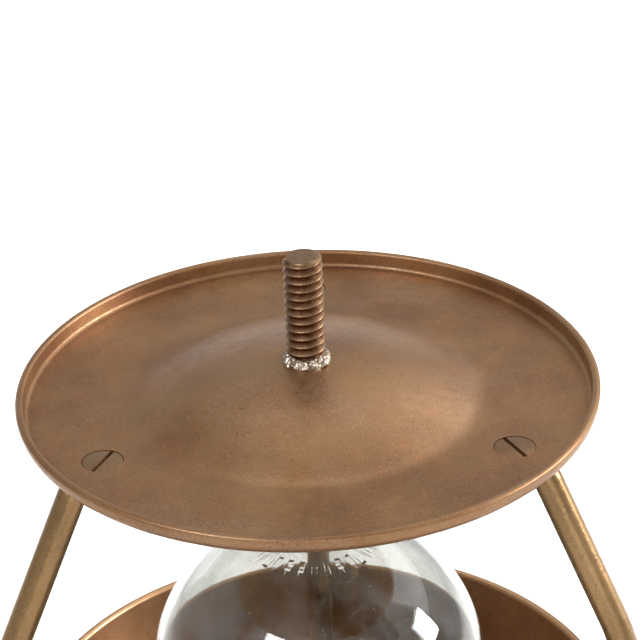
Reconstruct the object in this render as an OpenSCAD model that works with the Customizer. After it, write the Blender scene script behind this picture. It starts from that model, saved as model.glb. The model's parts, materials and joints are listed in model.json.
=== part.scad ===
// Miner's electric hand safety lamp: a guarded well glass over an accumulator case.
// Millimetres, +Z up, origin at the centre of the base.

/* [Hood] */
// Outside diameter of the hood
hood_d = 70; // [66:0.5:74]
// Thickness of the hood's sheet
hood_sheet = 0.5; // [0.4:0.1:1.2]
// Depth of the flat ring below the top of the rim
hood_depth = 2.1; // [1.2:0.1:2.4]
// Diameter of the dome's edge
dome_d = 41.2; // [36:0.2:44]
// Height of the dome above the flat ring
dome_h = 4.9; // [3:0.1:5.5]

/* [Suspension stud] */
// Diameter over the thread of the stud
stud_d = 4.76; // [4:0.01:6.35]
// Height of the stud's end above the hood's rim
stud_h = 16.5; // [10:0.1:22]

/* [Guard bars] */
// Diameter of each bar
bar_d = 3.45; // [3:0.05:4]
// Radius of the ring of screws that hold the bars to the hood
screw_ring_r = 27.5; // [26:0.1:28.5]
// Largest radius of a bar's centre line
bow_r = 42.4; // [41.5:0.1:43]
// Radius of a bar's straight lower leg from the lamp's axis
leg_r = 33.2; // [33:0.1:33.6]
// Splay of a bar from the vertical
splay = 27; // [25:0.5:29]

/* [Well glass] */
// Outside diameter of the globe
glass_d = 42.8; // [40:0.2:43]
// Wall of the globe
glass_wall = 1; // [0.8:0.1:2.4]

/* [Guard cup] */
// Outside diameter of the cup's rim
cup_d = 76.4; // [75.5:0.1:77]
// Thickness of the cup's sheet
cup_sheet = 1.2; // [1:0.1:1.4]

/* [Head] */
// Outside diameter of the grip skirt
head_d = 95; // [94.6:0.1:98]
// Angle from off to on
switch_angle = 45; // [30:1:60]

/* [Battery case] */
// Outside diameter of the case
case_d = 80; // [80:0.1:80.6]
// Wall of the case
case_wall = 1.2; // [0.8:0.1:1.4]

/* [Hidden] */
$fn = 96;
eps = 0.01;
gap = 0.3;
BARS = [210, 330, 90];
BETWEEN = [270, 30, 150];

// Levels above the base
z_rim = 235;
z_flat = z_rim - hood_depth;
z_hood_under = z_flat - hood_sheet;
z_dome = z_flat + dome_h;
z_thread = z_dome + 1.2;
z_cup_rim = 185;
z_cup_floor = 168.5;
z_head_top = z_cup_floor - cup_sheet;
z_plate = 160.3;
z_boss = 156;
z_skirt = 140;
z_seat = 163.3;
z_case_top = 158;
z_disc = 152;
z_ring = 150.5;
z_globe = 192.4;
z_lid = 128;

hood_r = hood_d / 2;
rim_wall = 1;
dome_r = dome_d / 2;
dome_ball = (dome_r * dome_r + dome_h * dome_h) / (2 * dome_h);
stud_r = stud_d / 2;
neck_r = stud_r - 0.2;
bar_r = bar_d / 2;
screw_r = 1.25;
screw_head_r = 2.5;
tap = 0.05;
glass_r = glass_d / 2;
flange_r = 25.8;
cup_r = cup_d / 2;
head_r = head_d / 2;
skirt_in_r = 42.7;
case_r = case_d / 2;
collar_r = 42.4;

// A bar's centre line: foot bend, splayed length, bow, splayed length, leg bend, leg
foot_bend = 2.2;
bow_bend = 18.5;
leg_bend = 8;
root_r = screw_ring_r + 2.4;
z_foot = z_hood_under - bar_r - eps;
foot_end = [root_r + foot_bend * cos(splay), z_foot - foot_bend + foot_bend * sin(splay)];
bow_edge_r = bow_r - bow_bend * (1 - cos(splay));
bow_top = [bow_edge_r, foot_end[1] - (bow_edge_r - foot_end[0]) / tan(splay)];
z_bow = bow_top[1] - bow_bend * sin(splay);
bow_low = [bow_edge_r, z_bow - bow_bend * sin(splay)];
leg_edge_r = leg_r + leg_bend * (1 - cos(splay));
leg_top = [leg_edge_r, bow_low[1] - (bow_edge_r - leg_edge_r) / tan(splay)];
z_leg = leg_top[1] - leg_bend * sin(splay);
BAR_JOINTS = [[root_r, z_foot], foot_end, bow_top, bow_low, leg_top, [leg_r, z_leg]];
palm_r = 3.6;
palm_t = 2.6;

// Lock: the bolt stands in a slot in the skirt and stops the head at off and on
lock_r = 44.6;
bolt_r = 1.6;
z_bolt_top = 146;
z_bolt = 126;
z_lock = 104;
z_chamber = 130;
chamber_r = 2.1;

// Cell and contacts
jar_r = 38;
jar_wall = 3;
z_jar = 5;
post_r = 5;
plunger_r = 3;
z_plunger = 138;
neg_x = 22.5;
z_plates = 108;

// ---- Helpers ----

// Ring or tube from its two radii and two levels
module ring(outer, inner, low, high) {
    translate([0, 0, low])
        difference() {
            cylinder(r = outer, h = high - low);
            translate([0, 0, -1]) cylinder(r = inner, h = high - low + 2);
        }
}

module disc(radius, low, high) {
    translate([0, 0, low]) cylinder(r = radius, h = high - low);
}

module at_ring(angles, radius) {
    for (a = angles) rotate([0, 0, a]) translate([radius, 0, 0]) children();
}

// Straight length of round bar between two [radius, height] points in the XZ plane
module straight(from, to) {
    run = to - from;
    translate([from[0], 0, from[1]])
        rotate([0, atan2(run[0], run[1]), 0])
            cylinder(r = bar_r, h = norm(run));
}

// Knuckle that closes the joint between two lengths of bar
module knuckle(place) {
    translate([place[0], 0, place[1]]) sphere(r = bar_r + eps);
}

// Bend of round bar in the XZ plane about [radius, height], between two angles
module bend(centre, bend_r, from, to) {
    translate([centre[0], 0, centre[1]])
        rotate([90, 0, 0])
            rotate([0, 0, from])
                rotate_extrude(angle = to - from)
                    translate([bend_r, 0]) circle(r = bar_r);
}

// Wire coil standing on z = low, swept along a helix
module coil(coil_r, wire_r, low, high, turns) {
    steps = turns * 14;
    sides = 8;
    rise = high - low - 2 * wire_r;
    rings = [for (i = [0:steps])
        let (a = 360 * i / 14, z = low + wire_r + rise * i / steps)
        [for (j = [0:sides - 1])
            let (b = 360 * j / sides, r = coil_r + wire_r * cos(b))
            [r * cos(a), r * sin(a), z + wire_r * sin(b)]]];
    points = [for (row = rings) for (p = row) p];
    skin = [for (i = [0:steps - 1]) for (j = [0:sides - 1])
        let (k = (j + 1) % sides)
        [i * sides + j, (i + 1) * sides + j, (i + 1) * sides + k, i * sides + k]];
    first = [for (j = [0:sides - 1]) j];
    last = [for (j = [sides - 1:-1:0]) steps * sides + j];
    polyhedron(points, concat(skin, [first, last]));
}

// Slotted screw with a flat countersunk head, its face at z = 0, pointing down
module countersunk_screw(length, slot_angle) {
    head_h = screw_head_r - screw_r;
    difference() {
        union() {
            translate([0, 0, -head_h]) cylinder(r1 = screw_r, r2 = screw_head_r, h = head_h);
            translate([0, 0, -length]) cylinder(r = screw_r, h = length - head_h + eps);
        }
        rotate([0, 0, slot_angle]) translate([-4, -0.22, -0.7]) cube([8, 0.44, 2]);
    }
}

// Slotted cheese-head screw, the underside of its head at z = 0
module cheese_screw(thread_r, head_r, head_h, length) {
    difference() {
        union() {
            cylinder(r = head_r, h = head_h);
            translate([0, 0, -length]) cylinder(r = thread_r, h = length + eps);
        }
        translate([-head_r - 1, -0.3, head_h * 0.55]) cube([2 * head_r + 2, 0.6, head_h]);
    }
}

module hex_nut(flats_r, thread_r, height) {
    difference() {
        cylinder(r = flats_r, h = height, $fn = 6);
        translate([0, 0, -1]) cylinder(r = thread_r, h = height + 2);
    }
}

// ---- Hood and guard ----

module hood() {
    ball_z = z_dome - dome_ball;
    color([0.58, 0.45, 0.32])
        difference() {
            union() {
                disc(hood_r, z_hood_under, z_flat);
                ring(hood_r, hood_r - rim_wall, z_flat - eps, z_rim);
                intersection() {
                    translate([0, 0, ball_z]) sphere(r = dome_ball);
                    disc(dome_r + 1, z_flat - eps, z_rim + 5);
                }
            }
            translate([0, 0, ball_z - hood_sheet]) sphere(r = dome_ball);
            disc(neck_r, z_rim - 5, z_rim + 15);
            at_ring(BARS, screw_ring_r) screw_seat();
        }
}

// Clearance and countersink for a hood screw, through the hood and the bar's palm
module screw_seat() {
    head_h = screw_head_r - screw_r;
    disc(screw_r + tap, z_hood_under - 4, z_rim);
    translate([0, 0, z_flat - head_h])
        cylinder(r1 = screw_r, r2 = screw_head_r + 0.2, h = head_h + 0.2);
}

// Riveting flange under the dome, plain shank through it, thread to full diameter above the solder
module suspension_stud() {
    under = z_dome - hood_sheet;
    end = z_rim + stud_h;
    color([0.48, 0.40, 0.33]) {
        disc(4.2, under - 1.8, under - 0.2);
        disc(neck_r, under - 0.2 - eps, z_thread + eps);
        disc(stud_r, z_thread, end - 0.5);
        translate([0, 0, end - 0.5 - eps]) cylinder(r1 = stud_r, r2 = stud_r - 0.5, h = 0.5 + eps);
    }
}

module stud_solder() {
    color([0.72, 0.68, 0.6])
        difference() {
            translate([0, 0, z_dome - 0.1]) cylinder(r1 = 3.6, r2 = stud_r + 0.1, h = z_thread - z_dome + 0.1);
            disc(neck_r, z_dome - 1, z_thread + 1);
            translate([0, 0, z_dome - dome_ball]) sphere(r = dome_ball, $fn = 360);
        }
}

module hood_screws() {
    slots = [215, 147, 40];
    color([0.50, 0.38, 0.26])
        for (i = [0:2])
            rotate([0, 0, BARS[i]])
                translate([screw_ring_r, 0, z_flat]) countersunk_screw(5.6, slots[i]);
}

// One bar: a drilled palm under the hood, the bow round the glass and a threaded foot
module guard_bar(angle) {
    color([0.52, 0.40, 0.26])
        rotate([0, 0, angle])
            difference() {
                union() {
                    translate([screw_ring_r, 0, z_hood_under - palm_t]) cylinder(r = palm_r, h = palm_t);
                    straight([screw_ring_r, z_foot], [root_r, z_foot]);
                    bend([root_r, z_foot - foot_bend], foot_bend, splay, 90);
                    straight(foot_end, bow_top);
                    bend([bow_r - bow_bend, z_bow], bow_bend, -splay, splay);
                    straight(bow_low, leg_top);
                    bend([leg_r + leg_bend, z_leg], leg_bend, 180 - splay, 180);
                    straight([leg_r, z_leg], [leg_r, z_cup_floor]);
                    for (place = BAR_JOINTS) knuckle(place);
                    translate([leg_r, 0, z_plate - 3.4]) cylinder(r = screw_r, h = z_cup_floor - z_plate + 4);
                }
                translate([screw_ring_r, 0, 0]) screw_seat();
            }
}

module guard_bar_left() {
    guard_bar(BARS[0]);
}

module guard_bar_right() {
    guard_bar(BARS[1]);
}

module guard_bar_rear() {
    guard_bar(BARS[2]);
}

module bar_nuts() {
    color([0.55, 0.47, 0.30])
        at_ring(BARS, leg_r)
            translate([0, 0, z_plate - 2.4]) hex_nut(2.9, screw_r + tap, 2.4);
}

module cup_half(radius, low, corner) {
    translate([0, low + corner]) square([radius, z_cup_rim - low]);
    translate([0, low]) square([radius - corner, corner + eps]);
    translate([radius - corner, low + corner]) circle(r = corner);
}

module guard_cup() {
    corner = 4;
    color([0.60, 0.45, 0.28])
        difference() {
            rotate_extrude()
                intersection() {
                    difference() {
                        cup_half(cup_r, z_head_top, corner);
                        cup_half(cup_r - cup_sheet, z_cup_floor, corner - cup_sheet);
                    }
                    translate([0, z_head_top]) square([cup_r, z_cup_rim - z_head_top]);
                }
            disc(flange_r + 0.6, z_head_top - 1, z_cup_floor + 1);
            at_ring(BARS, leg_r) disc(screw_r + tap, z_head_top - 1, z_cup_floor + 1);
            at_ring(BETWEEN, 28.9) disc(screw_r + tap, z_head_top - 1, z_cup_floor + 1);
        }
}

// ---- Well glass and its seat ----

z_flange = z_seat + 1.2;
z_flange_top = z_flange + 3.4;
z_clamp = z_flange_top + 0.8;
z_clamp_top = z_clamp + 2.4;
clamp_r = 31;

// Ball on a skirt that is a shade narrower, so that they meet along a clean line
module globe(radius, low) {
    translate([0, 0, z_globe]) sphere(r = radius);
    disc(radius - 0.03, low, z_globe);
}

module well_glass() {
    color([0.85, 0.9, 0.88, 0.35])
        difference() {
            union() {
                globe(glass_r, z_flange);
                disc(flange_r, z_flange, z_flange_top);
            }
            globe(glass_r - glass_wall, z_flange - 1);
        }
}

module lower_gasket() {
    color([0.15, 0.14, 0.13]) ring(flange_r, 21, z_seat, z_flange);
}

module upper_gasket() {
    color([0.15, 0.14, 0.13]) ring(flange_r, glass_r + 0.2, z_flange_top, z_clamp);
}

module clamp_ring() {
    color([0.62, 0.50, 0.32])
        difference() {
            ring(clamp_r, glass_r + 0.3, z_clamp, z_clamp_top);
            at_ring(BETWEEN, 28.9) disc(screw_r + tap, z_clamp - 1, z_clamp_top + 1);
        }
}

module clamp_screws() {
    color([0.55, 0.44, 0.27])
        at_ring(BETWEEN, 28.9)
            translate([0, 0, z_clamp_top]) cheese_screw(screw_r, 2, 1.6, 9);
}

// ---- Bulb and its socket ----

z_bulb_flange = 166.3;
z_cap = 168.3;
z_cap_top = 177.5;
bulb_r = 7.4;
z_bulb = 184.1;
bore_r = 3.2;

module reflector() {
    low = z_bulb_flange + 1;
    color([0.93, 0.92, 0.88])
        difference() {
            translate([0, 0, low]) cylinder(r1 = 14, r2 = 18.9, h = 4);
            translate([0, 0, low + 0.8]) cylinder(r1 = 13.6, r2 = 18.6, h = 4);
            disc(6, low - 1, low + 2);
        }
}

module bulb_glass() {
    neck_r = 4.2;
    color([0.9, 0.93, 0.92, 0.35])
        difference() {
            union() {
                translate([0, 0, z_bulb]) sphere(r = bulb_r);
                disc(neck_r, z_cap_top - 5, z_bulb);
            }
            translate([0, 0, z_bulb]) sphere(r = bulb_r - 0.6);
            disc(neck_r - 0.6, z_cap_top - 3.5, z_bulb);
        }
}

module bulb_cap() {
    color([0.70, 0.60, 0.38])
        difference() {
            disc(5, z_cap, z_cap_top);
            disc(4.3, z_cap + 1.2, z_cap_top + 1);
        }
}

// Two support wires joined by the glowing wire
module bulb_filament() {
    wire_r = 0.22;
    color([0.45, 0.44, 0.42]) {
        for (side = [-1, 1])
            translate([side * 2, 0, z_cap_top - 3.5]) cylinder(r = wire_r, h = 11, $fn = 24);
        translate([-2.2, 0, z_cap_top + 7.3]) rotate([0, 90, 0]) cylinder(r = 0.35, h = 4.4, $fn = 24);
    }
}

module bulb_socket() {
    color([0.66, 0.54, 0.33]) {
        ring(5.7, 5.1, z_bulb_flange, 176.3);
        ring(8.3, 5.1, z_bulb_flange, z_bulb_flange + 1);
    }
}

module socket_base() {
    color([0.24, 0.12, 0.08])
        difference() {
            union() {
                disc(13, z_seat, z_bulb_flange);
                disc(8.9, z_disc, z_seat + eps);
            }
            disc(bore_r, z_disc - 1, z_bulb_flange + 1);
        }
}

module bulb_contact() {
    color([0.72, 0.60, 0.35]) disc(bore_r - 0.1, 162, z_cap - gap);
}

module bulb_contact_spring() {
    color([0.6, 0.6, 0.6]) coil(2.4, 0.3, 154.5, 162, 6);
}

// ---- Head ----

module lamp_head() {
    color([0.56, 0.43, 0.28])
        difference() {
            union() {
                difference() {
                    union() {
                        disc(head_r, z_skirt, 163.5);
                        translate([0, 0, 163.5 - eps])
                            cylinder(r1 = head_r, r2 = cup_r + 1.2, h = z_head_top - 163.5 + eps);
                    }
                    disc(skirt_in_r, z_skirt - 1, z_plate);
                }
                disc(20, z_boss, z_plate + eps);
            }
            disc(flange_r + 0.4, z_seat, z_head_top + 1);
            disc(9, z_boss - 1, z_head_top);
            at_ring(BARS, leg_r) disc(screw_r + tap, z_plate - 1, z_head_top + 1);
            at_ring(BETWEEN, 28.9) disc(screw_r + tap, 161.6, z_head_top + 1);
            at_ring(BETWEEN, 15) disc(screw_r + tap, z_boss - 1, 161);
            lock_slot();
        }
}

// Arc slot in the skirt's lower edge, as long as the switch's turn
module lock_slot() {
    spare = asin((bolt_r + gap + 0.1) / lock_r);
    rotate([0, 0, 270 - switch_angle - spare])
        rotate_extrude(angle = switch_angle + 2 * spare)
            translate([skirt_in_r - 2, z_skirt - 1]) square([10, z_bolt_top - z_skirt + 1.6]);
}

module head_seal() {
    color([0.13, 0.12, 0.12]) ring(skirt_in_r - 0.2, case_r - 2.5, z_case_top + gap, z_plate);
}

module contact_disc() {
    color([0.24, 0.12, 0.08])
        difference() {
            ring(28, 8.95, z_disc, z_boss);
            at_ring(BETWEEN, 15) disc(screw_r + tap, z_disc - 1, z_boss + 1);
            at_ring(BETWEEN, 15)
                translate([0, 0, z_disc - eps]) cylinder(r1 = screw_head_r + tap, r2 = screw_r, h = 1.3);
        }
}

module centre_button() {
    color([0.72, 0.60, 0.35]) {
        disc(7, z_ring, z_disc);
        disc(bore_r - 0.3, z_disc - eps, 154.5);
    }
}

// Open ring: the gap in it is the off position
module contact_ring() {
    off_half = 30;
    color([0.72, 0.60, 0.35])
        rotate([0, 0, off_half])
            rotate_extrude(angle = 360 - 2 * off_half)
                translate([19, z_ring]) square([7, z_disc - z_ring]);
}

module contact_screws() {
    color([0.55, 0.44, 0.27])
        at_ring(BETWEEN, 15)
            translate([0, 0, z_disc]) mirror([0, 0, 1]) countersunk_screw(8, 20);
}

// ---- Battery case ----

module battery_case() {
    bead = 0.9;
    color([0.55, 0.43, 0.28])
        difference() {
            union() {
                disc(case_r, 1.5, z_case_top);
                for (z = [24, 92])
                    translate([0, 0, z]) rotate_extrude() translate([case_r, 0]) circle(r = bead);
            }
            disc(case_r - case_wall, 3, z_case_top + 1);
            lock_screw_places() translate([0, 0, -4]) cylinder(r = 1.05, h = 20);
        }
}

module case_collar() {
    color([0.58, 0.46, 0.29]) ring(collar_r, case_r, 141, 156);
}

module base_ring() {
    color([0.50, 0.38, 0.24])
        difference() {
            union() {
                disc(case_r + 2.4, 0, 9);
                translate([0, 0, 9 - eps]) cylinder(r1 = case_r + 2.4, r2 = case_r + 0.6, h = 1.8);
            }
            disc(case_r, 1.5, 12);
            disc(30, -1, 2);
        }
}

module base_pad() {
    color([0.13, 0.12, 0.12]) disc(36, 3, z_jar);
}

// ---- Cell ----

module cell_jar() {
    color([0.10, 0.09, 0.09])
        difference() {
            disc(jar_r, z_jar, z_lid);
            disc(jar_r - jar_wall, z_jar + jar_wall, z_lid + 1);
        }
}

VENTS = [[-14, 14], [-14, -14]];

module cell_lid() {
    color([0.12, 0.10, 0.10])
        difference() {
            disc(jar_r, z_lid, 134);
            disc(post_r + tap, z_lid - 1, 135);
            translate([neg_x, 0, 0]) disc(post_r + tap, z_lid - 1, 135);
            for (v = VENTS) translate([v[0], v[1], 0]) disc(4 + tap, z_lid - 1, 135);
        }
}

module vent_plugs() {
    color([0.35, 0.10, 0.07])
        for (v = VENTS)
            translate([v[0], v[1], 0])
                difference() {
                    union() {
                        disc(4, z_lid, 134);
                        translate([0, 0, 134 - eps]) cylinder(r = 6, h = 3, $fn = 8);
                    }
                    disc(0.8, z_lid - 1, 140);
                }
}

module plate(y) {
    translate([-29, y - 1.5, z_jar + jar_wall]) cube([58, 3, z_plates - z_jar - jar_wall]);
}

module strap(x, half_w, half_l) {
    translate([x - half_w, -half_l, z_plates + 6]) cube([2 * half_w, 2 * half_l, 4]);
}

module lug(x, y) {
    translate([x - 3, y - 1.5, z_plates - eps]) cube([6, 3, 6 + 2 * eps]);
}

module positive_plates() {
    color([0.30, 0.20, 0.16]) {
        for (y = [-8, 8]) {
            plate(y);
            lug(0, y);
        }
        strap(0, 6, 9.5);
    }
}

module negative_plates() {
    color([0.45, 0.46, 0.48]) {
        for (y = [-16, 0, 16]) {
            plate(y);
            lug(neg_x, y);
        }
        strap(neg_x, 4.5, 17.5);
    }
}

module plate_separators() {
    color([0.70, 0.60, 0.45])
        for (y = [-12, -4, 4, 12])
            translate([-29.5, y - 0.6, z_jar + jar_wall]) cube([59, 1.2, z_plates - z_jar - jar_wall - 1]);
}

module post() {
    difference() {
        union() {
            disc(post_r, z_plates + 10, 142);
            ring(7.5, post_r - eps, 134, 136);
        }
        disc(plunger_r + 0.1, 130, 143);
    }
}

module positive_post() {
    color([0.50, 0.50, 0.52]) post();
}

module negative_post() {
    color([0.50, 0.50, 0.52]) translate([neg_x, 0, 0]) post();
}

module positive_plunger() {
    color([0.72, 0.60, 0.35]) disc(plunger_r, z_plunger, z_ring - gap);
}

module negative_plunger() {
    color([0.72, 0.60, 0.35]) translate([neg_x, 0, 0]) disc(plunger_r, z_plunger, z_ring - gap);
}

module positive_spring() {
    color([0.6, 0.6, 0.6]) coil(2.4, 0.35, 130, z_plunger, 5);
}

module negative_spring() {
    color([0.6, 0.6, 0.6]) translate([neg_x, 0, 0]) coil(2.4, 0.35, 130, z_plunger, 5);
}

// ---- Lock ----

// Places of the two screws that hold the lock's housing to the case, drawn pointing inwards
module lock_screw_places() {
    for (x = [-5, 5])
        translate([x, -44.6, 113]) rotate([-90, 0, 0]) children();
}

module lock_housing() {
    half_w = 7.8;
    top = z_skirt - gap;
    color([0.52, 0.40, 0.26])
        difference() {
            intersection() {
                translate([-half_w, -head_r, z_lock]) cube([2 * half_w, 12, top - z_lock]);
                disc(head_r - 0.1, z_lock, top);
            }
            disc(case_r, z_lock - 1, top + 1);
            translate([0, -lock_r, 0]) {
                disc(bolt_r + tap, z_chamber - 1, top + 1);
                disc(chamber_r, z_lock - 1, z_chamber);
            }
            lock_screw_places() translate([0, 0, -4]) cylinder(r = 1.85, h = 4);
            lock_screw_places() translate([0, 0, -4]) cylinder(r = 1.05, h = 20);
        }
}

module lock_bolt() {
    color([0.45, 0.45, 0.46])
        translate([0, -lock_r, 0]) {
            disc(bolt_r, z_bolt, z_bolt_top);
            disc(chamber_r - 0.1, z_bolt, z_chamber - gap);
        }
}

module lock_spring() {
    color([0.6, 0.6, 0.6]) translate([0, -lock_r, 0]) coil(1.55, 0.25, z_lock + 4, z_bolt, 9);
}

module lock_cap() {
    color([0.52, 0.40, 0.26])
        translate([0, -lock_r, 0])
            difference() {
                union() {
                    disc(chamber_r - 0.02, z_lock - eps, z_lock + 4);
                    disc(2.5, z_lock - 1.4, z_lock);
                }
                translate([-4, -0.3, z_lock - 2]) cube([8, 0.6, 1.2]);
            }
}

module lock_screws() {
    color([0.50, 0.42, 0.28])
        lock_screw_places()
            mirror([0, 0, 1]) cheese_screw(1, 1.75, 1.2, 6.4);
}

// ---- Drawing ----

hood();
suspension_stud();
stud_solder();
hood_screws();
guard_bar_left();
guard_bar_right();
guard_bar_rear();
bar_nuts();
guard_cup();
well_glass();
lower_gasket();
upper_gasket();
clamp_ring();
clamp_screws();
reflector();
bulb_glass();
bulb_cap();
bulb_filament();
bulb_socket();
socket_base();
bulb_contact();
bulb_contact_spring();
lamp_head();
head_seal();
contact_disc();
centre_button();
contact_ring();
contact_screws();
battery_case();
case_collar();
base_ring();
base_pad();
cell_jar();
cell_lid();
vent_plugs();
positive_plates();
negative_plates();
plate_separators();
positive_post();
negative_post();
positive_plunger();
negative_plunger();
positive_spring();
negative_spring();
lock_housing();
lock_bolt();
lock_spring();
lock_cap();
lock_screws();
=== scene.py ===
"""Miner's electric hand lamp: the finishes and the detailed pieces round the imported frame."""

import json
import math

import bmesh
import bpy
from mathutils import Matrix, Vector, noise


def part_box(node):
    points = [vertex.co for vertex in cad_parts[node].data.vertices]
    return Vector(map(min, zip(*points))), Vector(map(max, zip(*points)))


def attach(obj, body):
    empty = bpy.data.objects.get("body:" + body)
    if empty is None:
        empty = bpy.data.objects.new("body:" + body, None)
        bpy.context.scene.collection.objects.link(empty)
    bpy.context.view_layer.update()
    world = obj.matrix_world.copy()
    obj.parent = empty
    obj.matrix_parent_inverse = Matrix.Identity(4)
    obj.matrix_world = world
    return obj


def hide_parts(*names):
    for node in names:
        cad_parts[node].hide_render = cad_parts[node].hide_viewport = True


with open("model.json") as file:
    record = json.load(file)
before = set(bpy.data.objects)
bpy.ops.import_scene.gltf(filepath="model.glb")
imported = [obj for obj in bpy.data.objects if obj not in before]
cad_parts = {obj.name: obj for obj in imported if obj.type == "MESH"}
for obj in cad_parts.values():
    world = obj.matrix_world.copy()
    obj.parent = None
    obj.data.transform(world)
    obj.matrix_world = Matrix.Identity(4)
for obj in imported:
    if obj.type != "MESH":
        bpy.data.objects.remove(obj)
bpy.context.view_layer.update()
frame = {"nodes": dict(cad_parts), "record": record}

MM = 0.001

# Camera angles, its lens, and its place from the middle of the hood's rim, in millimetres
CAMERA_ELEVATION = math.radians(28.2)
CAMERA_ROLL = math.radians(2.23)
CAMERA_AZIMUTH = math.radians(0.5)
CAMERA_LENS = 140.6
CAMERA_OFFSET = (1.8, -260.9, 147.9)
# Point near the lamp's top that the lights aim at, in metres
LIGHT_TARGET = (0, 0, 0.235)

# Azimuths of the three guard bars and of the places between them, in degrees from +X
BARS = {"left": 210, "right": 330, "rear": 90}
BETWEEN = (270, 30, 150)


def millimetres(node):
    """Lowest and highest corners of a CAD node, in millimetres."""
    low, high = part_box(node)
    return low / MM, high / MM


hood_low, hood_high = millimetres("hood")
HOOD_R = hood_high.x
HOOD_UNDER = hood_low.z
HOOD_SHEET = 0.5
HOOD_FLAT = HOOD_UNDER + HOOD_SHEET
RIM_TOP = HOOD_FLAT + 2.1
DOME_TOP = hood_high.z
DOME_R = 20.6
SCREW_RING_R = 27.5
STUD_R = 2.38
NECK_R = STUD_R - 0.2
STUD_END = millimetres("suspension_stud")[1].z
THREAD_PITCH = 25.4 / 24
BAR_R = 1.725
CUP_R = millimetres("guard_cup")[1].x
GLOBE_R = 21.4
GLOBE_Z = millimetres("well_glass")[1].z - GLOBE_R
HEAD_R = 47.5
CASE_R = 40
LOCK_R = 44.6

# Edges that turn by more than this, in degrees, are drawn sharp
SHARP_EDGE = 32

# Colours of old bronze lacquer, clean and tarnished, and of its flecks, dusty bloom and dark pits
BROWN_SHEET = "#9B744C"
TARNISHED_SHEET = "#855F3E"
FLECK = "#C9A67C"
BLOOM = "#A98E78"
PIT = "#33231A"


# ---- Shapes ----


def arc(centre, radius, start, end, steps=8):
    """Points along a round stretch of an outline, angles in degrees."""
    angles = [math.radians(start + (end - start) * i / steps) for i in range(steps + 1)]
    return [(centre[0] + radius * math.cos(a), centre[1] + radius * math.sin(a)) for a in angles]


def rounded(corners, steps=5):
    """Closed outline from (radius, height, fillet) corners, with an arc at each fillet."""
    outline = []
    for i, (x, z, fillet) in enumerate(corners):
        here = Vector((x, z))
        if not fillet:
            outline.append((x, z))
            continue
        before = (Vector(corners[i - 1][:2]) - here).normalized()
        after = (Vector(corners[(i + 1) % len(corners)][:2]) - here).normalized()
        half = before.angle(after) / 2
        centre = here + (before + after).normalized() * fillet / math.sin(half)
        first = here + before * fillet / math.tan(half) - centre
        last = here + after * fillet / math.tan(half) - centre
        for step in range(steps + 1):
            swing = Matrix.Rotation(-first.angle_signed(last) * step / steps, 2)
            outline.append(tuple(centre + swing @ first))
    return outline


def lathe(outline, segments=192, closed=True):
    """Solid turned about the lamp's axis from an outline of (radius, height) points."""
    bm = bmesh.new()
    verts = [bm.verts.new((r, 0, z)) for r, z in outline]
    loop = verts + verts[:1] if closed else verts
    edges = [bm.edges.new(pair) for pair in zip(loop, loop[1:])]
    spin = {"cent": (0, 0, 0), "axis": (0, 0, 1), "angle": math.tau, "use_merge": True}
    bmesh.ops.spin(bm, geom=verts + edges, steps=segments, **spin)
    bmesh.ops.remove_doubles(bm, verts=bm.verts, dist=1e-4)
    bmesh.ops.recalc_face_normals(bm, faces=bm.faces)
    return bm


def drum(radius, low, high, bevel=0.0, segments=48):
    """Plain turned disc or pin, its rims bevelled."""
    bm = bmesh.new()
    size = {"segments": segments, "radius1": radius, "radius2": radius, "depth": high - low}
    bmesh.ops.create_cone(bm, cap_ends=True, matrix=Matrix.Translation((0, 0, (low + high) / 2)), **size)
    if bevel:
        soften(bm, [e for e in bm.edges if abs(e.verts[0].co.z - e.verts[1].co.z) < 1e-6], bevel)
    return bm


def soften(bm, edges, width, segments=3):
    """Rounds edges with a bevel of this width."""
    how = {"affect": "EDGES", "offset_type": "OFFSET", "profile": 0.5, "material": -1}
    bmesh.ops.bevel(bm, geom=edges, offset=width, segments=segments, clamp_overlap=True, **how)


def block(low, high):
    """Rectangular block between two corners."""
    bm = bmesh.new()
    size = Matrix.Diagonal((*(high - low), 1))
    bmesh.ops.create_cube(bm, size=1, matrix=Matrix.Translation((low + high) / 2) @ size)
    return bm


def sector(inner, outer, low, high, start, sweep):
    """Part of a ring from one azimuth round through another angle, in degrees."""
    bm = bmesh.new()
    corners = [(inner, 0, low), (outer, 0, low), (outer, 0, high), (inner, 0, high)]
    verts = [bm.verts.new(c) for c in corners]
    edges = [bm.edges.new((verts[i - 1], verts[i])) for i in range(4)]
    angle = math.radians(sweep)
    bmesh.ops.spin(bm, geom=verts + edges, cent=(0, 0, 0), axis=(0, 0, 1), angle=angle, steps=40)
    bmesh.ops.holes_fill(bm, edges=[e for e in bm.edges if e.is_boundary])
    bmesh.ops.recalc_face_normals(bm, faces=bm.faces)
    return turned(bm, start)


def turned(bm, angle, radius=0.0, height=0.0):
    """Moves a bmesh out along +X and up, and turns it about the lamp's axis."""
    matrix = Matrix.Rotation(math.radians(angle), 4, "Z") @ Matrix.Translation((radius, 0, height))
    bmesh.ops.transform(bm, matrix=matrix, verts=bm.verts)
    return bm


def join(target, part):
    """Adds a bmesh to another, and frees it."""
    mesh = bpy.data.meshes.new("part")
    part.to_mesh(mesh)
    part.free()
    target.from_mesh(mesh)
    bpy.data.meshes.remove(mesh)
    return target


def place_object(bm, name, smooth_angle=SHARP_EDGE):
    """Object of a bmesh in millimetres, its place in its mesh, in metres."""
    bmesh.ops.transform(bm, matrix=Matrix.Scale(MM, 4), verts=bm.verts)
    mesh = bpy.data.meshes.new(name)
    bm.to_mesh(mesh)
    bm.free()
    mesh.shade_smooth()
    mesh.set_sharp_from_angle(angle=math.radians(smooth_angle))
    piece = bpy.data.objects.new(name, mesh)
    bpy.context.scene.collection.objects.link(piece)
    return piece


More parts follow.
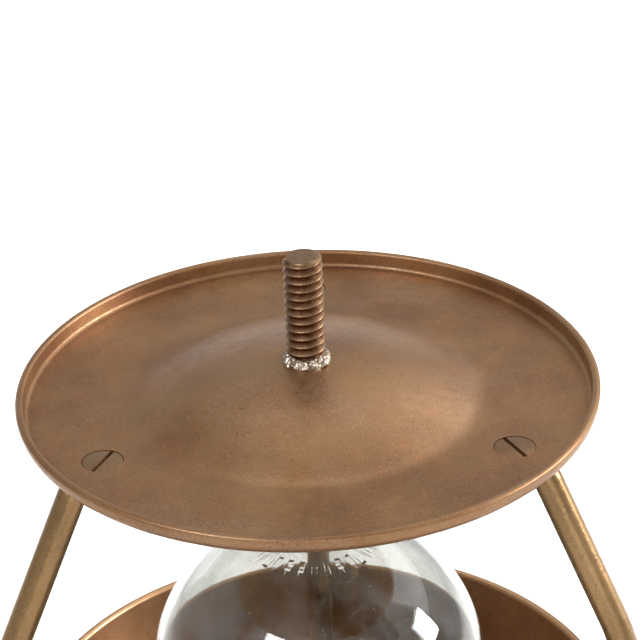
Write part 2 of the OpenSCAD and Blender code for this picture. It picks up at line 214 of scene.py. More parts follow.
def carve(piece, cutters):
    """Cuts bmeshes in millimetres out of a piece."""
    joined = bmesh.new()
    for cutter in cutters:
        join(joined, cutter)
    tool = place_object(joined, "cutter")
    modifier = piece.modifiers.new("carve", "BOOLEAN")
    modifier.operation = "DIFFERENCE"
    modifier.solver = "EXACT"
    modifier.object = tool
    graph = bpy.context.evaluated_depsgraph_get()
    carved = bpy.data.meshes.new_from_object(piece.evaluated_get(graph))
    piece.modifiers.clear()
    piece.data = carved
    bpy.data.objects.remove(tool)
    carved.shade_smooth()
    carved.set_sharp_from_angle(angle=math.radians(SHARP_EDGE))
    return piece


def dress(piece, body, slot, *nodes, finish=None):
    """Rides a piece on its body, with its finish, in place of CAD nodes."""
    piece.data.materials.clear()
    piece.data.materials.append(finishes[finish or slot])
    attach(piece, body)
    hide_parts(*nodes)
    return piece


# ---- Finishes ----

RANGE, MATH, BUMP = "ShaderNodeMapRange", "ShaderNodeMath", "ShaderNodeBump"


def srgb(code):
    """Linear colour of a hex code such as #B58A4A."""
    channels = [int(code[i : i + 2], 16) / 255 for i in (1, 3, 5)]
    return tuple(c / 12.92 if c <= 0.04045 else ((c + 0.055) / 1.055) ** 2.4 for c in channels) + (1.0,)


def add(tree, kind, inputs=(), output=0, **settings):
    """Adds a node; its inputs, in order or by name, are values or other nodes' sockets."""
    made = tree.nodes.new(kind)
    for key, value in settings.items():
        setattr(made, key, value)
    for key, value in inputs.items() if isinstance(inputs, dict) else enumerate(inputs):
        if isinstance(value, bpy.types.NodeSocket):
            tree.links.new(value, made.inputs[key])
        else:
            made.inputs[key].default_value = value
    return made.outputs[output]


def new_material(name, **constants):
    """Material with a shader that has these constants, and its object coordinates."""
    material = bpy.data.materials.new(name)
    material.use_nodes = True
    tree = material.node_tree
    shader = tree.nodes["Principled BSDF"]
    for key, value in constants.items():
        shader.inputs[key.replace("_", " ")].default_value = value
    return material, tree, shader, add(tree, "ShaderNodeTexCoord", output="Object")


def connect(tree, shader, **sockets):
    """Links sockets to the inputs of a material's shader."""
    for key, socket in sockets.items():
        tree.links.new(socket, shader.inputs[key.replace("_", " ")])


def pattern(tree, coords, size_mm, detail=3.0, stretch=(1, 1, 1)):
    """Noise whose features are about size_mm across, stretched along an axis."""
    scale = tuple(s / (size_mm * MM) for s in stretch)
    mapped = add(tree, "ShaderNodeMapping", {"Vector": coords, "Scale": scale})
    look = {"Vector": mapped, "Scale": 1.0, "Detail": detail, "Roughness": 0.55}
    return add(tree, "ShaderNodeTexNoise", look)


def along(tree, coords, axis):
    """One of the object coordinates by itself."""
    return add(tree, "ShaderNodeSeparateXYZ", [coords], axis)


def from_axis(tree, coords):
    """Distance from the lamp's axis."""
    flat = add(tree, "ShaderNodeMapping", {"Vector": coords, "Scale": (1, 1, 0)})
    return add(tree, "ShaderNodeVectorMath", [flat], "Value", operation="LENGTH")


def layered(tree, ground, *layers):
    """Ground colour under others, each given as how much of it shows and its colour."""
    for share, colour in layers:
        ground = add(tree, "ShaderNodeMix", {0: share, 6: ground, 7: colour}, 2, data_type="RGBA")
    return ground


def lacquered_brass(name, ground, tarnish, warm, roughness=0.42, stretch=(1, 1, 1), outer_r=None):
    """Brass under old bronze lacquer; past outer_r it has the hood's browner colours."""
    coat = {"Coat_Weight": 0.3, "Coat_Roughness": 0.32}
    material, tree, shader, coords = new_material(name, Metallic=0.8, **coat)
    clouds = add(tree, RANGE, (pattern(tree, coords, 13, 3, stretch), 0.36, 0.66))
    layers = [(clouds, srgb(ground))]
    # Only the cup gives outer_r: inside it the paler ground is painted light, outside it the hood's colours
    if outer_r:
        hood_sheet_colours = layered(tree, srgb(TARNISHED_SHEET), (clouds, srgb(BROWN_SHEET)))
        edge, past_edge = (outer_r - 0.9) * MM, (outer_r - 0.3) * MM
        outside = add(tree, RANGE, (from_axis(tree, coords), edge, past_edge))
        layers.append((outside, hood_sheet_colours))
    patches = add(tree, RANGE, (pattern(tree, coords, 4.5, 5, stretch), 0.45, 0.72, 0, 0.3))
    # Real flecks and grains of dust are finer, but these are as coarse as they need to be to show
    flecks = add(tree, RANGE, (pattern(tree, coords, 0.2, 1), 0.55, 0.8, 0, 0.4))
    bloom = add(tree, RANGE, (pattern(tree, coords, 15, 2), 0.53, 0.66, 0, 0.3))
    sand = add(tree, RANGE, (pattern(tree, coords, 0.3, 3), 0.42, 0.58))
    dusty = add(tree, MATH, (bloom, sand), operation="MULTIPLY")
    pits = add(tree, RANGE, (pattern(tree, coords, 0.5, 2), 0.24, 0.36, 0.45, 0))
    layers += [(patches, srgb(warm)), (flecks, srgb(FLECK)), (dusty, srgb(BLOOM)), (pits, srgb(PIT))]
    colour = layered(tree, srgb(tarnish), *layers)
    wiped = pattern(tree, coords, 1.1, 4)
    rough = add(tree, RANGE, (wiped, 0.3, 0.7, roughness - 0.07, roughness + 0.1))
    pitted = add(tree, RANGE, (pattern(tree, coords, 16, 2), 0.5, 0.62, 0.25, 1))
    grain = add(tree, MATH, (pattern(tree, coords, 0.4, 3), pitted), operation="MULTIPLY")
    bump = add(tree, BUMP, {"Height": grain, "Strength": 0.6, "Distance": 0.08 * MM})
    connect(tree, shader, Base_Color=colour, Roughness=rough, Normal=bump)
    return material


def plain_metal(name, ground, mark, roughness, grit_mm, bump_mm=0.03):
    """Drawn, turned or cast metal with a fine grit in its colour and gloss."""
    material, tree, shader, coords = new_material(name, Metallic=1.0)
    grit = add(tree, RANGE, (pattern(tree, coords, grit_mm, 4), 0.35, 0.65))
    colour = layered(tree, srgb(mark), (grit, srgb(ground)))
    rough = add(tree, RANGE, (grit, 0, 1, roughness + 0.12, roughness))
    bump = add(tree, BUMP, {"Height": grit, "Strength": 0.25, "Distance": bump_mm * MM})
    connect(tree, shader, Base_Color=colour, Roughness=rough, Normal=bump)
    return material


def threaded_metal(name, crest, root, roughness):
    """Threaded rod: pale on the crests, dull and dark in the grooves, and paler towards its end, a painted
    highlight for its lit top.
    """
    material, tree, shader, coords = new_material(name, Metallic=0.9)
    groove, top = (STUD_R - 0.5) * MM, (STUD_R - 0.02) * MM
    depth = add(tree, RANGE, (from_axis(tree, coords), groove, top))
    # Paler towards the stud's end: painted highlight, the top of the stud lit from above
    end = add(tree, RANGE, (along(tree, coords, "Z"), (STUD_END - 0.4) * MM, (STUD_END - 0.1) * MM))
    grit = add(tree, RANGE, (pattern(tree, coords, 0.7, 4), 0.35, 0.65, -0.25, 0.25))
    pale_crests_and_lit_end = add(tree, MATH, (depth, end), operation="MAXIMUM")
    pale_crests_and_lit_end = add(tree, MATH, (pale_crests_and_lit_end, grit), operation="ADD", use_clamp=True)
    colour = layered(tree, srgb(root), (pale_crests_and_lit_end, srgb(crest)))
    rough = add(tree, RANGE, (pale_crests_and_lit_end, 0, 1, roughness + 0.2, roughness))
    grain = pattern(tree, coords, 0.3, 3)
    bump = add(tree, BUMP, {"Height": grain, "Strength": 0.35, "Distance": 0.04 * MM})
    connect(tree, shader, Base_Color=colour, Roughness=rough, Normal=bump)
    return material


def plain_nonmetal(name, ground, mark, roughness, grit_mm, bump_mm=0.02):
    """Rubber, ebonite, enamel, paste or veneer, with a fine mottle in its colour and gloss."""
    material, tree, shader, coords = new_material(name)
    grit = add(tree, RANGE, (pattern(tree, coords, grit_mm, 4), 0.3, 0.7))
    colour = layered(tree, srgb(mark), (grit, srgb(ground)))
    rough = add(tree, RANGE, (grit, 0, 1, roughness, roughness + 0.15))
    bump = add(tree, BUMP, {"Height": grit, "Strength": 0.3, "Distance": bump_mm * MM})
    connect(tree, shader, Base_Color=colour, Roughness=rough, Normal=bump)
    return material


def ring_of_ticks(tree, coords, radius_mm, count):
    """Ring of short radial ticks about the axis: 1 on a tick and 0 between them."""
    apart = add(tree, MATH, (from_axis(tree, coords), radius_mm * MM), operation="SUBTRACT")
    distance = add(tree, MATH, [apart], operation="ABSOLUTE")
    band = add(tree, RANGE, (distance, 0.5 * MM, 0.8 * MM, 1, 0))
    sides = (along(tree, coords, "Y"), along(tree, coords, "X"))
    angle = add(tree, MATH, sides, operation="ARCTAN2")
    turns = add(tree, MATH, (angle, count), operation="MULTIPLY")
    wave = add(tree, MATH, [turns], operation="COSINE")
    tick = add(tree, RANGE, (wave, 0.1, 0.4))
    return add(tree, MATH, (band, tick), operation="MULTIPLY")


def clear_glass(name, tint, dust_share, ticks_r=None):
    """Clear glass: smooth, with a little dust, a faint waviness and perhaps a moulded ring of ticks."""
    material, tree, shader, coords = new_material(name, IOR=1.5)
    specks = add(tree, RANGE, (pattern(tree, coords, 0.3, 2), 0.66, 0.74, 0, dust_share))
    film = add(tree, RANGE, (pattern(tree, coords, 6, 4), 0.45, 0.75, 0, 0.3 * dust_share))
    dust = add(tree, MATH, (specks, film), operation="MAXIMUM")
    colour = layered(tree, srgb(tint), (dust, srgb("#B4B0A8")))
    clear = add(tree, RANGE, (dust, 0, 1, 1, 0.2))
    rough = add(tree, RANGE, (specks, 0, 1, 0.01, 0.5))
    waves = pattern(tree, coords, 9, 2)
    normal = add(tree, BUMP, {"Height": waves, "Strength": 0.05, "Distance": 0.4 * MM})
    if ticks_r:
        ticks = ring_of_ticks(tree, coords, ticks_r, 28)
        ridge = {"Height": ticks, "Strength": 0.18, "Distance": 0.12 * MM, "Normal": normal}
        normal = add(tree, BUMP, ridge)
    connect(tree, shader, Base_Color=colour, Roughness=rough, Transmission_Weight=clear, Normal=normal)
    return material


finishes = {
    # Spun brass sheet under old bronze lacquer: satin brown, clouded, with pits and bright flecks
    "lacquered_brass": lacquered_brass("lacquered_spun_brass", BROWN_SHEET, TARNISHED_SHEET, "#A2683C"),
    # The same sheet, paler and redder inside the cup: painted light, standing for the light bounced about
    # inside the cup
    "cup_painted_light_brass": lacquered_brass("lacquered_brass_cup_painted_light", "#DDB288", "#C0946A", "#D29C68", 0.4, outer_r=CUP_R),
    # Drawn rod under thinner lacquer: glossier and more yellow, clouded along its length
    "bar_brass": lacquered_brass("lacquered_drawn_brass", "#A07E54", "#7E623C", "#AC7E4A", 0.34, (1, 1, 0.2)),
    # Brass rod with a cut thread: pale crests over dark red-brown grooves
    "stud_metal": threaded_metal("threaded_brass_rod", "#907357", "#522A12", 0.4),
    # Soft solder wiped by hand: pale and speckled
    "solder": plain_metal("soft_solder", "#D2C6B6", "#7A6550", 0.38, 0.5),
    # Small screws turned from brass bar, under the lacquer: a shade greyer than the sheet
    "screw_brass": lacquered_brass("turned_screw_brass", "#8D6C4A", "#755839", "#A06D44", 0.4),
    # Moulded black rubber: matt, almost black
    "rubber_seal": plain_nonmetal("black_moulded_rubber", "#1B1A19", "#0F0F0E", 0.65, 0.6),
    # Enamel fired on sheet steel: glossy warm white
    "white_enamel": plain_nonmetal("fired_white_enamel", "#E9E6DB", "#DAD6C8", 0.15, 6.0),
    # Turned brass left bare where current passes: bright yellow
    "contact_brass": plain_metal("bright_turned_brass", "#D8B160", "#B98F45", 0.25, 1.2),
    # Drawn nickel wire: plain bright grey
    "support_wire": plain_metal("drawn_support_wire", "#9A9894", "#74726E", 0.3, 0.4),
    # Moulded bakelite: dark red-brown with a soft shine
    "bakelite": plain_nonmetal("moulded_bakelite", "#3A1D12", "#28120A", 0.32, 2.0),
    # Drawn spring steel: pale grey and bright
    "spring_steel": plain_metal("drawn_spring_steel", "#B4B4B2", "#8C8C8A", 0.28, 0.5),
    # Moulded ebonite: black with a soft shine
    "ebonite": plain_nonmetal("moulded_ebonite", "#171615", "#0E0D0D", 0.3, 3.0),
    # Lead dioxide paste: rough chocolate brown
    "plate_positive": plain_nonmetal("pasted_positive_plate", "#553426", "#38231A", 0.75, 1.2, 0.1),
    # Spongy lead paste: rough slate grey
    "plate_negative": plain_nonmetal("pasted_negative_plate", "#6C6F72", "#4E5053", 0.7, 1.2, 0.1),
    # Sawn cedar veneer: matt light brown
    "separator_wood": plain_nonmetal("sawn_cedar_veneer", "#A98A60", "#8A6C46", 0.7, 1.0, 0.05),
    # Cast lead: dull blue-grey
    "lead_post": plain_metal("cast_lead", "#85888C", "#5C5F63", 0.5, 1.5),
    # Hard rubber dyed red: brick red with a soft shine
    "vent_red": plain_nonmetal("red_hard_rubber", "#7A2A1E", "#5C1D14", 0.35, 2.0),
    # Soft iron turned to size: plain mid grey
    "lock_steel": plain_metal("turned_soft_iron", "#88888A", "#5E5E60", 0.35, 1.0),
    # Pressed glass, a little grey, with dust and a raised ring of ticks on its crown
    "clear_glass": clear_glass("pressed_globe_glass", "#DFE0DD", 0.5, 7),
    # Thin blown glass: almost invisible
    "bulb_clear": clear_glass("blown_bulb_glass", "#FCFDFC", 0.1),
}


# ---- Hood, stud and screws ----


def dome_height(radius):
    """Height of the dome above the flat ring, eased into it at its edge."""
    rise, ease = DOME_TOP - HOOD_FLAT, 0.6
    ball = (DOME_R**2 + rise**2) / (2 * rise)
    cap = math.sqrt(ball**2 - radius**2) - (ball - rise)
    return (cap + math.sqrt(cap**2 + ease**2)) / 2 - ease**2 / (4 * rise)


def make_hood():
    """Spun sheet with its dome, flat ring and upturned rim, and a seat for each screw."""
    corner, fillet, seat_r = 2.1, 0.55, 2.47
    flat_end, steps = HOOD_R - 1.5, 72
    radii = [NECK_R + (flat_end - NECK_R) * i / steps for i in range(steps + 1)]
    top = [(r, HOOD_FLAT + dome_height(r)) for r in radii]
    rim = arc((flat_end, top[-1][1] + fillet), fillet, -80, 0, 5)
    rim += arc((HOOD_R - 0.62, RIM_TOP - 0.35), 0.35, 180, 90, 5)
    rim += arc((HOOD_R - 0.4, RIM_TOP - 0.4), 0.4, 90, 0, 5)
    rim += arc((HOOD_R - corner, HOOD_UNDER + corner), corner, 0, -90, 9)
    under = [(r, z - HOOD_SHEET) for r, z in reversed(top) if r < HOOD_R - corner - 0.1]
    hood = place_object(lathe(top + rim + under, 256), "spun_hood")
    seats = []
    for azimuth in BARS.values():
        seat = drum(seat_r, -0.9, 3, segments=64)
        seats.append(turned(seat, azimuth, SCREW_RING_R, HOOD_FLAT))
    carve(hood, seats)
    return dress(hood, "head_body", "lacquered_brass", "hood")


def slotted_head(radius, height, slot_w, slot_deep, rim=0.08):
    """Screw head with its face at 0 and its slot along X."""
    bm = drum(radius, -height, 0, rim, 64)
    for side in (-1, 1):
        geom = bm.verts[:] + bm.edges[:] + bm.faces[:]
        cut = {"plane_co": (0, side * slot_w / 2, 0), "plane_no": (0, 1, 0)}
        bmesh.ops.bisect_plane(bm, geom=geom, dist=1e-5, **cut)
    top = [f for f in bm.faces if f.normal.z > 0.3 and abs(f.calc_center_median().y) < slot_w / 2]
    pushed = bmesh.ops.extrude_face_region(bm, geom=top)["geom"]
    bmesh.ops.delete(bm, geom=top, context="FACES")
    lowered = [v for v in pushed if isinstance(v, bmesh.types.BMVert)]
    bmesh.ops.translate(bm, vec=(0, 0, -slot_deep), verts=lowered)
    bmesh.ops.recalc_face_normals(bm, faces=bm.faces)
    return bm


def screw(head, shank_r, shank_end, slot_angle):
    """Slotted screw with its head's face at 0."""
    join(head, drum(shank_r, shank_end, -0.5, 0.1, 32))
    return turned(head, slot_angle)


def make_hood_screws():
    """Countersunk screws, a hair below the sheet, with their slots' directions in degrees from +X."""
    slots, sunk = {"left": 65, "right": 117, "rear": 130}, 0.03
    screws = bmesh.new()
    for side, angle in BARS.items():
        head = slotted_head(2.42, height=1.2, slot_w=0.5, slot_deep=0.6)
        one = screw(head, shank_r=1.2, shank_end=-4.6, slot_angle=slots[side] - angle)
        join(screws, turned(one, angle, SCREW_RING_R, HOOD_FLAT - sunk))
    return dress(place_object(screws, "hood_screws_slotted"), "head_body", "screw_brass", "hood_screws")


def thread_depth(turn, height, low, high):
    """How far the thread's surface lies inside its crest; it fades at the foot and tapers at the end."""
    deepest, crest_share, flank_share = 0.5, 0.08, 0.75
    fade_length, taper_length = 0.5, 0.3
    wave = abs(2 * ((height / THREAD_PITCH - turn) % 1.0) - 1)
    groove = deepest * max(0.0, min(1.0, (wave - crest_share) / flank_share))
    fade = max(0.0, min(1.0, (height - low) / fade_length))
    taper = max(0.0, taper_length - (high - height))
    return fade * groove * (1 - 2 * taper) + taper * 0.9


def make_stud():
    """Stud with its foot under the dome, a plain neck through it and a cut thread above."""
    low, high = millimetres("suspension_stud")
    foot_r, foot_top = 4.2, low.z + 1.6
    start, rows = DOME_TOP + 0.5, 240
    outline = [(0, low.z), (foot_r, low.z), (foot_r, foot_top), (NECK_R, foot_top)]
    outline += [(STUD_R, start + (high.z - start) * i / rows) for i in range(rows + 1)]
    outline += [(STUD_R * 0.6, high.z), (0, high.z)]
    bm = lathe(outline, 96, closed=False)
    for v in bm.verts:
        radius = v.co.xy.length
        if v.co.z > start - 1e-4 and radius > STUD_R * 0.9:
            turn = math.atan2(v.co.y, v.co.x) / math.tau
            v.co.xy *= 1 - thread_depth(turn, v.co.z, start, high.z) / radius
    return dress(place_object(bm, "threaded_stud", 50), "head_body", "stud_metal", "suspension_stud")


def make_solder():
    """Uneven collar of solder, lumpy where it was wiped."""
    base = DOME_TOP
    outline = [(2.1, base - 0.2), (2.85, base - 0.15), (2.95, base + 0.1), (2.8, base + 0.45)]
    outline += [(2.55, base + 0.75), (2.42, base + 1.0), (2.1, base + 1.1)]
    bm = lathe(outline, 96)
    bmesh.ops.subdivide_edges(bm, edges=bm.edges, cuts=2, use_grid_fill=True)
    for v in bm.verts:
        lump = noise.noise(v.co * 1.1) * 0.3 + noise.noise(v.co * 3.1) * 0.16
        outward = Vector((v.co.x, v.co.y, 0)).normalized()
        if v.co.xy.length > 2.3:
            v.co += outward * lump * 0.9
            v.co.z = min(v.co.z + lump * 0.6, base + 1.2)
    return dress(place_object(bm, "solder_collar", 60), "head_body", "solder", "stud_solder")


# ---- Guard bars and cup ----


def extend(bm, edges, radius, height):
    """Carries the open end of a rod straight on by a step out and a step up."""
    made = bmesh.ops.extrude_edge_only(bm, edges=edges)["geom"]
    verts = [v for v in made if isinstance(v, bmesh.types.BMVert)]
    bmesh.ops.translate(bm, vec=(radius, 0, height), verts=verts)
    return [e for e in made if isinstance(e, bmesh.types.BMEdge)]


def bend(bm, edges, radius, height, angle):
    """Carries the open end of a rod round a centre; a positive angle turns it down and in."""
    verts = list({v for e in edges for v in e.verts})
    turn = {"cent": (radius, 0, height), "axis": (0, 1, 0), "angle": math.radians(angle)}
    made = bmesh.ops.spin(bm, geom=verts + edges, steps=max(4, int(abs(angle) / 4)), **turn)["geom_last"]
    return [e for e in made if isinstance(e, bmesh.types.BMEdge)]


def end_place(edges):
    """Middle of a rod's open end, as (radius, height)."""
    points = [v.co for e in edges for v in e.verts]
    middle = sum(points, Vector()) / len(points)
    return middle.x, middle.z


def make_guard_bar(side, angle):
    """Bowed rod from its palm under the hood, out, and down into the cup."""
    # Splay in degrees, then the radii of the three bends along the rod
    splay, foot, bow, leg = 27, 2.2, 18.5, 8
    # Distances from the axis of its first bend, its widest point and its leg
    root_r, bow_r, leg_r, cup_floor = SCREW_RING_R + 2.4, 42.4, 33.2, 168.5
    slope, drop = math.tan(math.radians(splay)), math.sin(math.radians(splay))
    share = 1 - math.cos(math.radians(splay))
    z_foot = HOOD_UNDER - BAR_R
    bm = bmesh.new()
    start = Matrix.Translation((SCREW_RING_R, 0, z_foot)) @ Matrix.Rotation(math.pi / 2, 4, "Y")
    bmesh.ops.create_circle(bm, segments=40, radius=BAR_R, matrix=start)
    end = extend(bm, bm.edges[:], root_r - SCREW_RING_R, 0)
    end = bend(bm, end, root_r, z_foot - foot, 90 - splay)
    step = bow_r - bow * share - end_place(end)[0]
    end = extend(bm, end, step, -step / slope)
    end = bend(bm, end, bow_r - bow, end_place(end)[1] - bow * drop, 2 * splay)
    step = end_place(end)[0] - leg_r - leg * share
    end = extend(bm, end, -step, -step / slope)
    end = bend(bm, end, leg_r + leg, end_place(end)[1] - leg * drop, -splay)
    extend(bm, end, 0, cup_floor - end_place(end)[1])
    bmesh.ops.holes_fill(bm, edges=[e for e in bm.edges if e.is_boundary])
    bmesh.ops.recalc_face_normals(bm, faces=bm.faces)
    palm = drum(3.6, HOOD_UNDER - 2.6, HOOD_UNDER, bevel=0.3, segments=64)
    shank = drum(1.25, 156.9, cup_floor + 0.1, bevel=0.2, segments=32)
    join(bm, turned(palm, 0, SCREW_RING_R))
    join(bm, turned(shank, 0, leg_r))
    piece = place_object(turned(bm, angle), "bowed_bar_" + side, 40)
    return dress(piece, "head_body", "bar_brass", "guard_bar_" + side)


def make_cup():
    """Spun cup round the foot of the glass, open in the middle."""
    low, high = millimetres("guard_cup")
    sheet, hole_r = 1.2, 26.4
    inner_r, floor = CUP_R - sheet, low.z + sheet
    corners = [(hole_r, low.z, 0.2), (CUP_R, low.z, 4.0), (CUP_R, high.z, 0.55)]
    corners += [(inner_r, high.z, 0.55), (inner_r, floor, 2.8), (hole_r, floor, 0.2)]
    piece = place_object(lathe(rounded(corners, 8), 256), "spun_guard_cup")
    # Its inside has the paler finish that paints in the light bounced about in the cup
    return dress(piece, "head_body", "lacquered_brass", "guard_cup", finish="cup_painted_light_brass")


# ---- Glass and its seat ----


def make_globe():
    """Well glass: a round crown on a straight wall, with a flange at its foot."""
    low = millimetres("well_glass")[0]
    wall, flange_r, step = 1.0, 25.8, low.z + 3.4
    bottom = [(GLOBE_R - wall, low.z + 0.3), (GLOBE_R - wall + 0.3, low.z), (flange_r - 0.4, low.z)]
    flange = [(flange_r, low.z + 0.4), (flange_r, step - 0.6), (flange_r - 0.6, step)]
    flange += [(GLOBE_R + 0.7, step), (GLOBE_R + 0.2, step + 0.2), (GLOBE_R, step + 0.7)]
    inner = arc((0, GLOBE_Z), GLOBE_R - wall, 90, 0, 48)
    outer = arc((0, GLOBE_Z), GLOBE_R, 0, 90, 48)
    piece = place_object(lathe(inner + bottom + flange + outer, 160, closed=False), "well_globe", 40)
    return dress(piece, "head_body", "clear_glass", "well_glass")


def make_clamp():
    """Ring that holds the glass down, and its three screws."""
    low, high = millimetres("clamp_ring")
    inner_r, outer_r, ring_r = GLOBE_R + 0.3, high.x, 28.9
    corners = [(inner_r, low.z, 0.1), (outer_r, low.z, 0.1), (outer_r, high.z, 0.6), (inner_r, high.z, 0.5)]
    piece = place_object(lathe(rounded(corners), 192), "clamp_ring_turned")
    dress(piece, "head_body", "lacquered_brass", "clamp_ring")
    screws = bmesh.new()
    for angle, slot_angle in zip(BETWEEN, (20, 75, 140)):
        head = slotted_head(2, height=1.6, slot_w=0.5, slot_deep=0.8, rim=0.25)
        one = screw(head, shank_r=1.25, shank_end=-9, slot_angle=slot_angle)
        join(screws, turned(one, angle, ring_r, high.z + 1.6))
    dress(place_object(screws, "clamp_screws_slotted"), "head_body", "screw_brass", "clamp_screws")


# ---- Head and case ----


def make_head():
    """Lamp head: its floor, the fluted grip skirt, and the slot for the lock in the skirt's foot."""
    flutes, flute_depth, fade_length = 60, 0.55, 0.8
    corners = [(9, 156, 0.2), (20, 156, 0.4), (20, 160.3, 0.3), (42.7, 160.3, 0.5), (42.7, 140, 0.3)]
    corners += [(HEAD_R, 140, 0.8), (HEAD_R, 163.5, 1.6), (39.4, 167.3, 1.0), (26.2, 167.3, 0.3)]
    corners += [(26.2, 163.3, 0.2), (9, 163.3, 0.2)]
    outline = rounded(corners)
    wall_top = next(i for i, (r, z) in enumerate(outline) if r > HEAD_R - 0.01 and z > 150)
    outline[wall_top:wall_top] = [(HEAD_R, 144 + 0.8 * i) for i in range(21)]
    bm = lathe(outline, 480)
    for v in bm.verts:
        reach = min(1, max(0, min(v.co.z - 144.5, 159.5 - v.co.z) / fade_length))
        if v.co.xy.length > 45 and reach:
            flute = 0.5 - 0.5 * math.cos(flutes * math.atan2(v.co.y, v.co.x))
            v.co.xy *= 1 - flute_depth * flute * reach / HEAD_R
    piece = place_object(bm, "fluted_head")
    # The lock bolt's slot, as long as the switch's turn and open at the foot
    lock_slot = sector(40.7, 49, 139, 146.6, start=222.4, sweep=50.1)
    carve(piece, [lock_slot])
    return dress(piece, "head_body", "lacquered_brass", "lamp_head")


def make_case():
    """Battery case with two rolled beads, and the base ring round its foot."""
    low, high = millimetres("battery_case")
    inner_r, floor, bead_r = CASE_R - 1.2, 3, 0.9
    outline = [(0, floor), (inner_r - 1, floor), (inner_r, floor + 1), (inner_r, high.z - 0.2)]
    outline += [(inner_r + 0.2, high.z), (CASE_R - 0.4, high.z), (CASE_R, high.z - 0.4)]
    for height in (92, 24):
        bead = arc((CASE_R, height), bead_r, 90, -90, 10)
        outline += [(CASE_R, height + 1.3), (CASE_R + 0.12, height + 1.0)] + bead[1:-1]
        outline += [(CASE_R + 0.12, height - 1.0), (CASE_R, height - 1.3)]
    outline += [(CASE_R, low.z + 0.3), (CASE_R - 0.3, low.z), (0, low.z)]
    piece = place_object(lathe(outline, 256, closed=False), "beaded_case")
    dress(piece, "case_body", "lacquered_brass", "battery_case")
    corners = [(30, 0, 0.4), (42.4, 0, 0.9), (42.4, 9, 0.8), (40.6, 10.8, 0.4)]
    corners += [(CASE_R, 10.8, 0), (CASE_R, 1.5, 0), (30, 1.5, 0.2)]
    ring = place_object(lathe(rounded(corners), 256), "base_ring_turned")
    return dress(ring, "case_body", "lacquered_brass", "base_ring")


def make_lock():
    """Housing of the magnetic lock, with the bore and the chamber for its bolt."""
    low, high = millimetres("lock_housing")
    bm = block(low, high)
    soften(bm, [e for e in bm.edges if sum(v.co.y for v in e.verts) / 2 < low.y + 0.1], 1.1, 4)
    piece = place_object(bm, "lock_housing_milled")
    bore_r, chamber_r, chamber_top = 1.65, 2.1, 130
    case_wall = drum(CASE_R, low.z - 1, high.z + 1, segments=128)
    holes = [drum(bore_r, chamber_top - 1, high.z + 1), drum(chamber_r, low.z - 1, chamber_top)]
    carve(piece, [case_wall] + [turned(hole, -90, LOCK_R) for hole in holes])
    return dress(piece, "case_body", "lacquered_brass", "lock_housing")


make_hood()
make_hood_screws()
make_stud()
make_solder()
for name, azimuth in BARS.items():
    make_guard_bar(name, azimuth)
make_cup()
make_globe()
make_clamp()
make_head()
make_case()
make_lock()

# The CAD nodes that stay in view have the finish of their slot
for part in frame["record"]["subparts"]:
    node = frame["nodes"][part["node"]]
    if not node.hide_render:
        node.data.materials.clear()
        node.data.materials.append(finishes[part["material_slot"]])


# ---- Stage, light and camera ----


def softbox(name, place, size, power, target=LIGHT_TARGET, spread=180):
    """Rectangular light aimed at the top of the lamp or at another target, in metres."""
    light = bpy.data.lights.new(name, "AREA")
    light.shape = "RECTANGLE"
    light.size, light.size_y = size
    light.energy = power
    light.spread = math.radians(spread)
    lamp = bpy.data.objects.new(name, light)
    bpy.context.scene.collection.objects.link(lamp)
    aim = Vector(target) - Vector(place)
    lamp.matrix_world = Matrix.Translation(place) @ aim.to_track_quat("-Z", "Y").to_matrix().to_4x4()


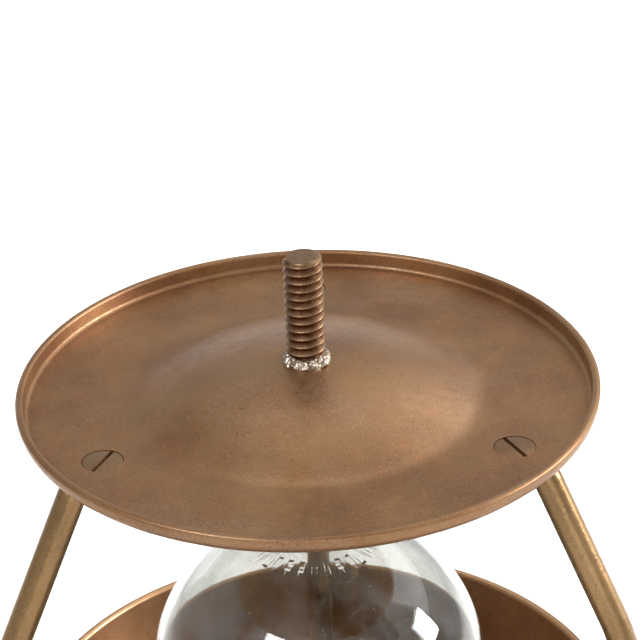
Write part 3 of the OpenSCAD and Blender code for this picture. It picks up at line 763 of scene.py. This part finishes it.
def make_stage():
    """Sheet of white paper, in metres, just under the lamp's foot."""
    bm = bmesh.new()
    bmesh.ops.create_grid(bm, x_segments=1, y_segments=1, size=6)
    bmesh.ops.translate(bm, vec=(0, 0, -0.0002), verts=bm.verts)
    mesh = bpy.data.meshes.new("floor")
    bm.to_mesh(mesh)
    bm.free()
    floor = bpy.data.objects.new("floor", mesh)
    bpy.context.scene.collection.objects.link(floor)
    # Seamless white paper
    paper, tree, shader, coords = new_material("white_paper", Roughness=0.9)
    tone = add(tree, RANGE, (pattern(tree, coords, 60, 2), 0.3, 0.7))
    connect(tree, shader, Base_Color=layered(tree, srgb("#F7F6F4"), (tone, srgb("#FAFAF8"))))
    mesh.materials.append(paper)


def make_light():
    """White surroundings, and softboxes with their places and sizes in metres and powers in watts."""
    world = bpy.data.worlds.new("studio")
    bpy.context.scene.world = world
    world.use_nodes = True
    background = world.node_tree.nodes["Background"]
    background.inputs["Color"].default_value = srgb("#FFFFFF")
    background.inputs["Strength"].default_value = 0.45
    softbox("side_softbox", (1.12, 0.13, 0.58), (0.3, 0.35), 12)
    softbox("front_softbox", (-0.57, -0.65, 1.05), (0.4, 0.3), 6)
    softbox("low_softbox", (0.2, -1.3, 0.45), (0.8, 0.4), 3)
    softbox("back_softbox", (0.75, 0.62, 1.0), (1.1, 0.9), 5)
    softbox("horizon_softbox", (-0.3, 1.4, 0.25), (1.6, 0.4), 2)
    softbox("paper_softbox", (0, 0.75, 1.2), (0.9, 0.6), 3.8, (0, 0.75, 0), 70)


def make_camera():
    """Camera in front of the hood and above it, turned a little about its own line of sight."""
    sine, cosine = math.sin(CAMERA_ELEVATION), math.cos(CAMERA_ELEVATION)
    forward, level_up = Vector((0, cosine, -sine)), Vector((0, sine, cosine))
    right = Vector((1, 0, 0)) * math.cos(CAMERA_ROLL) - level_up * math.sin(CAMERA_ROLL)
    up = Vector((1, 0, 0)) * math.sin(CAMERA_ROLL) + level_up * math.cos(CAMERA_ROLL)
    data = bpy.data.cameras.new("camera")
    data.lens = CAMERA_LENS
    data.clip_start = 0.01
    camera = bpy.data.objects.new("camera", data)
    bpy.context.scene.collection.objects.link(camera)
    axes = Matrix((right, up, -forward)).transposed().to_4x4()
    round_lamp = Matrix.Rotation(CAMERA_AZIMUTH, 4, "Z")
    rim_centre = Matrix.Translation((0, 0, RIM_TOP * MM))
    camera.matrix_world = rim_centre @ round_lamp @ Matrix.Translation(Vector(CAMERA_OFFSET) * MM) @ axes
    bpy.context.scene.camera = camera


make_stage()
make_light()
make_camera()
bpy.context.scene.view_settings.view_transform = "Standard"
